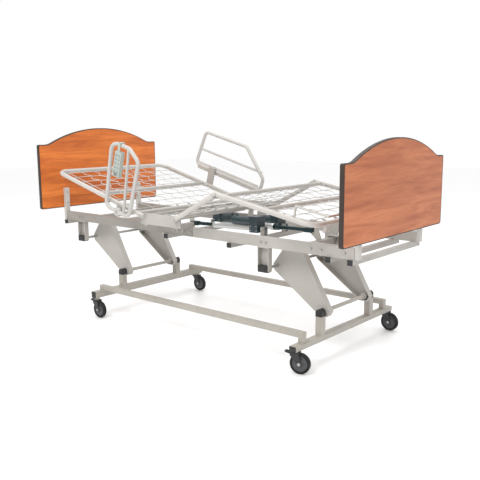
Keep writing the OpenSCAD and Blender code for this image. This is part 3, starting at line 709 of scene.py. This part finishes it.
def guard():
    tube = rail_tube("guard_tube", RAIL_Y, GUARD_LINE, 0.034, 10, GUARD_BAR, "guard")
    bm = bmesh.new()
    loops = []
    for n, thin in BAND_LEVELS:
        loops.append([bm.verts.new(head(s, RAIL_Y + d * thin, n)) for s, d in GUARD_BAND])
    skin(bm, loops)
    outward(bm)
    new_obj("guard_band", bm, WHITE, "guard")
    rail_hub("guard_hub", GUARD_PIN, 0.026, "guard")
    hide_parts("guard_rail")


def grip():
    tube = rail_tube("grip_tube", -RAIL_Y, GRIP_LINE, 0.040, 12, GRIP_BAR, "grip")
    rail_hub("grip_hub", GRIP_PIN, 0.023, "grip")
    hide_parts("grip_rail")


guard()
grip()


# ---------- hand control ----------

PENDANT_FACE = -485.0
PENDANT_S = 200
QUADRANTS = ((1, 1, 0), (-1, 1, 90), (-1, -1, 180), (1, -1, 270))


def pad(bm, s, n, hs, hn, t):
    """Pad with rounded corners, raised by t toward -Y on the face of the hand control."""
    r = min(hs, hn) * 0.55
    loops = []
    for grow, depth in ((0, -0.3), (0, t * 0.6), (-t * 0.5, t)):
        q = max(r + grow, 0.1)
        pts = []
        for cs, cn, start in QUADRANTS:
            for k in range(5):
                a = math.radians(start + 22.5 * k)
                at = head(s + cs * (hs - r) + q * math.cos(a), PENDANT_FACE - depth,
                          n + cn * (hn - r) + q * math.sin(a))
                pts.append(bm.verts.new(at))
        loops.append(pts)
    skin(bm, loops)


def pendant():
    """Keys and grip lines on the hand control."""
    bm = bmesh.new()
    for row in range(5):
        for side in SIDES:
            pad(bm, PENDANT_S + side * 11.5, 278 - row * 22, 8.0, 6.6, 1.4)
    outward(bm)
    new_obj("pendant_keys", bm, KEYS, "grip")
    bm = bmesh.new()
    for k in range(4):
        pad(bm, PENDANT_S, 181 - k * 5, 15, 1.2, 0.6)
    outward(bm)
    new_obj("pendant_grip_lines", bm, BLACK, "grip")


pendant()


# ---------- casters ----------

# half profiles as (distance from the wheel's middle plane, radius)
TYRE_HALF = [(0.0075, 0.0365), (0.0105, 0.0372), (0.0118, 0.0400), (0.0117, 0.0440), (0.0108, 0.0470),
             (0.0085, 0.0491), (0.0045, 0.04985), (0.0012, 0.04995), (0.0008, 0.0492)]
DISC_HALF = [(0.0118, 0.0058), (0.0119, 0.0125), (0.0112, 0.0150), (0.0068, 0.0185), (0.0066, 0.0300),
             (0.0085, 0.0350), (0.0088, 0.0366)]
CUP = [(0.0955, 0.0185), (0.0965, 0.0205), (0.0995, 0.0212), (0.1018, 0.0205)]
PEDAL_START = 0.030
PEDAL_TOP = 0.1015
PEDAL_SLOPE = 0.0035 / 0.022


def caster(corner):
    """Tyre, ribbed disc, axle nuts and swivel cup of one caster."""
    wheel = "caster_wheel_" + corner
    fork = "caster_fork_" + corner
    axle = mid(wheel)
    axis = Vector(JOINT["wheel_" + corner]["axis"]).normalized()
    fwd = axis.cross(Z_AXIS)

    def turned(bm, half):
        profile = half + [(-d, r) for d, r in reversed(half)]
        ring_skin(bm, [ring(bm, axle + axis * d, fwd, Z_AXIS, r, 48) for d, r in profile])

    bm = bmesh.new()
    turned(bm, TYRE_HALF)
    outward(bm)
    tyre = new_obj("tyre_" + corner, bm, TREAD, BODY_OF[wheel])
    bm = bmesh.new()
    turned(bm, DISC_HALF)
    for k in range(6):
        a = math.pi / 3 * k
        spoke = fwd * math.cos(a) + Z_AXIS * math.sin(a)
        for side in SIDES:
            face = axle + axis * side * 0.0068
            sweep(bm, [face + spoke * d for d in (0.0165, 0.0250, 0.0335)], 0.0016, 8)
    outward(bm)
    new_obj("wheel_disc_" + corner, bm, WHEELD, BODY_OF[wheel])
    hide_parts(wheel)
    bm = bmesh.new()
    for side in SIDES:
        hex_bolt(bm, axle + axis * side * 0.0195, axis * side, 0.0062, 0.0035)
    new_obj("axle_nuts_" + corner, bm, BOLT, BODY_OF[fork])
    stem = Vector(JOINT["swivel_" + corner]["pos_m"])
    bm = bmesh.new()
    lathe(bm, Vector((stem.x, stem.y, 0.0)), Z_AXIS, CUP, 36)
    new_obj("swivel_cup_" + corner, bm, HOOD, BODY_OF[fork])


def pedal_ribs(corner):
    """Anti-slip ribs across the tread of a brake pedal."""
    stem = Vector(JOINT["swivel_" + corner]["pos_m"])
    axis = Vector(JOINT["wheel_" + corner]["axis"]).normalized()
    axis = axis if axis.y > 0 else -axis
    out = Z_AXIS.cross(axis)
    out = out if out.x < 0 else -out
    bm = bmesh.new()
    for k in range(4):
        d = 0.0335 + 0.0042 * k
        z = PEDAL_TOP + (d - PEDAL_START) * PEDAL_SLOPE + 0.0003
        c = Vector((stem.x, stem.y, z)) + out * d
        sweep(bm, [c - axis * 0.0105, c, c + axis * 0.0105], 0.0009, 8)
    new_obj("pedal_ribs_" + corner, bm, BLACK, BODY_OF["brake_pedal_" + corner])


for corner in CORNERS:
    caster(corner)
for corner in CORNERS:
    pedal_ribs(corner)


# ---------- actuators ----------

TUBE_START = 0.080
TUBE_R = 0.0172
TUBE_BORE = 0.0102
GEARBOX_HALF = 0.034
SCREW = [(-0.0003, 0.0032), (0.0006, 0.0032), (0.0014, 0.0024), (0.0017, 0.001)]


def drive_frame(kind):
    """Rear pivot of one actuator, its direction toward the lever pin and the upward one square to it."""
    rear = Vector(JOINT[kind + "_tilt"]["pos_m"])
    axis = Vector(JOINT[kind + "_stroke"]["axis"]).normalized()
    if (mid(kind + "_rod") - rear).dot(axis) < 0:
        axis = -axis
    up = axis.cross(Y_AXIS)
    if up.z < 0:
        up = -up
    return rear, axis, up


def actuator(kind, case_l, motor_l, rise, motor_r):
    """Motor cover, bright outer tube, gearbox screws and rear pin nuts; sizes in millimetres."""
    rear, ax, up = drive_frame(kind)
    body = BODY_OF[kind + "_actuator"]
    base = rear + up * rise * MM
    end = base + ax * motor_l * MM
    r = motor_r * MM
    bm = bmesh.new()
    lathe(bm, base + ax * 0.078, ax, [(0.0, r + 0.0009), (0.004, r + 0.0011), (0.005, r + 0.0002)])
    rib = [(0.0, r), (0.0008, r + 0.0009), (0.003, r + 0.0009), (0.0038, r)]
    for k in range(3):
        lathe(bm, base + ax * (0.102 + 0.016 * k), ax, rib)
    nose = [(0.0, r + 0.0004), (0.005, r + 0.0002), (0.009, r * 0.93), (0.012, r * 0.78), (0.0135, r * 0.5)]
    lathe(bm, end - ax * 0.004, ax, nose)
    new_obj(kind + "_motor_cover", bm, MOTOR, body)

    t0, t1 = TUBE_START, case_l * MM
    collar, skin_r, tip = TUBE_R + 0.0022, TUBE_R + 0.0002, TUBE_R + 0.0012
    profile = [(t0, collar), (t0 + 0.018, collar), (t0 + 0.021, skin_r), (t1 - 0.024, skin_r),
               (t1 - 0.022, tip), (t1 - 0.002, tip), (t1 - 0.0004, skin_r),
               (t1 - 0.0004, TUBE_BORE), (t0, TUBE_BORE)]
    u, v = cross_axes(ax)[1:]
    bm = bmesh.new()
    ring_skin(bm, [ring(bm, rear + ax * d, u, v, q, 40) for d, q in profile])
    outward(bm)
    new_obj(kind + "_outer_tube", bm, TUBE, body)

    bm = bmesh.new()
    for side in SIDES:
        for dx in (0.028, 0.068):
            for dz in (-0.012, 0.012):
                at = rear + ax * dx + Y_AXIS * side * GEARBOX_HALF + up * dz
                lathe(bm, at, Y_AXIS * side, SCREW, 16)
    new_obj(kind + "_gearbox_screws", bm, BOLT, body)
    bm = bmesh.new()
    for side in SIDES:
        hex_bolt(bm, rear + Y_AXIS * side * 0.020, Y_AXIS * side, 0.0075, 0.005)
    new_obj(kind + "_rear_pin_nuts", bm, BOLT, "deck")


actuator("lift", 450, 172, 26, 30)
actuator("back", 365, 210, 36, 24)
actuator("knee", 175, 160, 36, 24)


# ---------- fasteners, caps and welds on deck and base ----------

PIN_CAP = [(-0.001, 0.0105), (0.0012, 0.0105), (0.0026, 0.0085), (0.0032, 0.004)]
BEARING_COVER = [(-0.001, 0.013), (0.0006, 0.013), (0.002, 0.0115), (0.0026, 0.006)]
PIVOT_FACE = [(-0.001, 0.0150), (0.0010, 0.0150), (0.0030, 0.0130), (0.0038, 0.006)]
BEARING_L = 0.060
BEARING_PIN = 0.038
UPRIGHT_X = 0.034
UPRIGHT_Y = 0.035
# the head tube's box reaches down to its stem collars, so the tube's own underside is named here
HEAD_TUBE_LOW = 0.120


def side_caps(bm, points, y, profile, n):
    """The same turned cap on both sides of the bed at each (x, z)."""
    for x, z in points:
        for side in SIDES:
            lathe(bm, Vector((x, side * y, z)), Y_AXIS * side, profile, n)


def deck_hardware():
    """Bolts through the rails, caps on the hinge pins and covers on the shaft bearings."""
    slo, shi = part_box("rail_sleeves")
    rail_lo, rail_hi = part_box("foot_rails")
    hang_lo, hang_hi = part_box("shaft_hangers")
    blo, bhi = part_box("footboard_brackets")
    split = rail_lo.x
    sleeve_x = (slo.x + 0.020, split - 0.018, split + 0.022, shi.x - 0.020)
    hanger_x = (hang_lo.x + 0.020, hang_lo.x + 0.050, hang_hi.x - 0.048, hang_hi.x - 0.018)
    bracket_x = (blo.x + 0.030, blo.x + 0.085, bhi.x - 0.050)
    bm = bmesh.new()
    for side in SIDES:
        for xs, y, z, r, h in ((sleeve_x, shi.y, (slo.z + shi.z) / 2, 0.0070, 0.0045),
                               (hanger_x, rail_hi.y, rail_lo.z + 0.024, 0.0060, 0.004),
                               (bracket_x, bhi.y, (blo.z + bhi.z) / 2, 0.0070, 0.0045)):
            for x in xs:
                hex_bolt(bm, Vector((x, side * y, z)), Y_AXIS * side, r, h)
    new_obj("rail_bolts", bm, BOLT, "deck")
    bm = bmesh.new()
    pins = [(p.x, p.z) for p in (BACK_HINGE, SEAT_HINGE)]
    side_caps(bm, pins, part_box("hinge_pins")[1].y, PIN_CAP, 28)
    new_obj("hinge_pin_caps", bm, FRAME, "deck")
    bm = bmesh.new()
    side_caps(bm, [(KNEE_HINGE.x, KNEE_HINGE.z)], (LEG_Y + LEG_R + 4) * MM, PIN_CAP, 28)
    new_obj("knee_pin_caps", bm, WHITE, "thigh_section")
    bm = bmesh.new()
    lo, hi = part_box("shaft_bearings")
    bores = [(x + BEARING_PIN, DECK_PIN.z) for x in (lo.x, hi.x - BEARING_L)]
    side_caps(bm, bores, hi.y, BEARING_COVER, 30)
    new_obj("bearing_covers", bm, BLACK, "deck")


def end_face(bm, c, w, h):
    """Rounded rectangle of half width w and half height h, square to Y."""
    r, steps = 0.003, 4
    pts = []
    for sx, sz, start in QUADRANTS:
        for k in range(steps + 1):
            a = math.radians(start + 90 * k / steps)
            pts.append(bm.verts.new(c + X_AXIS * (sx * (w - r) + r * math.cos(a))
                                    + Z_AXIS * (sz * (h - r) + r * math.sin(a))))
    return pts


def base_hardware():
    """Pivot cap faces, plugs in the ends of the cross tubes, and weld beads round the uprights."""
    bm = bmesh.new()
    pivots = [(x, LIFT_PIN.z) for x in (LIFT_PIN.x, FOOT_LIFT_PIN.x)]
    side_caps(bm, pivots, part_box("pivot_caps")[1].y, PIVOT_FACE, 36)
    new_obj("pivot_cap_faces", bm, BLACK, "base")

    bm = bmesh.new()
    foot_tube_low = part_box("base_foot_tube")[0].z
    for node, low in (("base_head_tube", HEAD_TUBE_LOW), ("base_foot_tube", foot_tube_low)):
        lo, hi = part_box(node)
        half = (hi.z - low) / 2
        for side in SIDES:
            c = Vector(((lo.x + hi.x) / 2, side * hi.y, (hi.z + low) / 2))
            out = Y_AXIS * side
            skin(bm, [end_face(bm, c - out * 0.0005, 0.0185, half - 0.0005),
                      end_face(bm, c + out * 0.0022, 0.0185, half - 0.0005),
                      end_face(bm, c + out * 0.0032, 0.0172, half - 0.0018)])
    outward(bm)
    new_obj("base_end_caps", bm, BLACK, "base")

    bm = bmesh.new()
    lo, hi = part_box("base_uprights")
    for x0, tube in ((lo.x, "base_head_tube"), (hi.x - UPRIGHT_X, "base_foot_tube")):
        x1 = x0 + UPRIGHT_X
        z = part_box(tube)[1].z + 0.0006
        for side in SIDES:
            y0, y1 = sorted((side * hi.y, side * (hi.y - UPRIGHT_Y)))
            path = ((x0, y0, z), (x1, y0, z), (x1, y1, z), (x0, y1, z))
            sweep(bm, rounded(path, 0.003, 4), 0.0016, 8, closed=True)
    new_obj("upright_welds", bm, BASEC, "base")


def arm_bosses():
    """Pivot bosses on the outer face of every lift arm."""
    reach = DECK_PIN - LIFT_PIN
    for node, pin in (("head_lift_arms", LIFT_PIN), ("foot_lift_arms", FOOT_LIFT_PIN)):
        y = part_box(node)[1].y
        bm = bmesh.new()
        for p, r in ((pin, 0.0165), (pin + reach, 0.0145)):
            boss = [(-0.001, r), (0.0012, r), (0.0020, r - 0.001), (0.0021, r - 0.004)]
            side_caps(bm, [(p.x, p.z)], y, boss, 36)
        new_obj(node + "_bosses", bm, FRAME, BODY_OF[node])


def control_details():
    """Ribs and corner screws on top of the control box."""
    lo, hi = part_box("control_box")
    mid_y = (lo.y + hi.y) / 2
    screw = [(-0.0004, 0.0034), (0.0008, 0.0034), (0.0014, 0.0022)]
    bm = bmesh.new()
    for k in range(5):
        x = lo.x + 0.025 + k * 0.024
        sweep(bm, [(x, mid_y + dy, hi.z) for dy in (-0.028, 0.0, 0.028)], 0.0016, 8)
    for x in (lo.x + 0.010, hi.x - 0.022):
        for y in (lo.y + 0.010, hi.y - 0.010):
            lathe(bm, Vector((x, y, hi.z)), Z_AXIS, screw, 16)
    new_obj("control_box_ribs", bm, MOTOR, "deck")


deck_hardware()
base_hardware()
arm_bosses()
control_details()


# ---------- stage ----------

FLOOR_HALF = 14.0
FLOOR_T = 0.02


def area(name, loc, target, size, power, tint=(1, 1, 1)):
    """Rectangular light at loc that faces its target."""
    d = bpy.data.lights.new(name, "AREA")
    d.shape = "RECTANGLE"
    d.size, d.size_y = size
    d.energy = power
    d.color = tint
    o = bpy.data.objects.new(name, d)
    o.location = loc
    o.rotation_mode = "QUATERNION"
    o.rotation_quaternion = (Vector(target) - Vector(loc)).to_track_quat("-Z", "Y")
    bpy.context.scene.collection.objects.link(o)


def stage():
    """Pale floor, white surroundings and three soft lights."""
    bm = bmesh.new()
    box_mesh(bm, (-FLOOR_HALF, -FLOOR_HALF, -FLOOR_T), (FLOOR_HALF, FLOOR_HALF, 0.0))
    me = bpy.data.meshes.new("floor")
    bm.to_mesh(me)
    bm.free()
    floor = bpy.data.objects.new("floor", me)
    bpy.context.scene.collection.objects.link(floor)
    m = Mat("floor_pale", rough=0.35, spec=0.4)
    m.color(m.ramp(m.noise(1.2, 2.0), [(0.3, (0.965, 0.965, 0.965)), (0.7, (0.98, 0.98, 0.98))]))
    m.rough(m.noise(6.0, 2.0), 0.3, 0.42)
    me.materials.append(m.m)

    world = bpy.data.worlds.new("studio")
    bpy.context.scene.world = world
    world.use_nodes = True
    bg = world.node_tree.nodes["Background"]
    bg.inputs["Color"].default_value = (1.0, 1.0, 1.0, 1)
    bg.inputs["Strength"].default_value = 1.0
    area("key", (0.4, -3.2, 3.6), (0, 0, 0.5), (1.8, 1.4), 75, (1.0, 0.98, 0.95))
    area("fill", (4.2, -0.6, 2.4), (0.4, 0, 0.6), (2.0, 2.4), 18, (0.97, 0.98, 1.0))
    area("top", (-0.4, 0.4, 4.2), (0, 0, 0.4), (3.0, 2.2), 60)


# ---------- camera ----------

CAMERA_AT = (2.5373, -2.8231, 1.1299)
YAW, PITCH, ROLL = math.radians(40.426), math.radians(9.792), math.radians(-0.3535)


def camera():
    """Camera at the photo's viewing angle; the yaw turns from +Y toward -X, the pitch looks down."""
    cam = bpy.data.cameras.new("photo_view")
    cam.lens = 50.0
    cam.sensor_width = 36.0
    o = bpy.data.objects.new("photo_view", cam)
    level = math.cos(PITCH)
    fwd = Vector((-math.sin(YAW) * level, math.cos(YAW) * level, -math.sin(PITCH)))
    right = Vector((math.cos(YAW), math.sin(YAW), 0))
    side = right * math.cos(ROLL) + right.cross(fwd) * math.sin(ROLL)
    o.rotation_mode = "QUATERNION"
    o.rotation_quaternion = Matrix((side, side.cross(fwd), -fwd)).transposed().to_quaternion()
    o.location = CAMERA_AT
    bpy.context.scene.collection.objects.link(o)
    bpy.context.scene.camera = o


stage()
camera()
bpy.context.scene.view_settings.view_transform = "Standard"
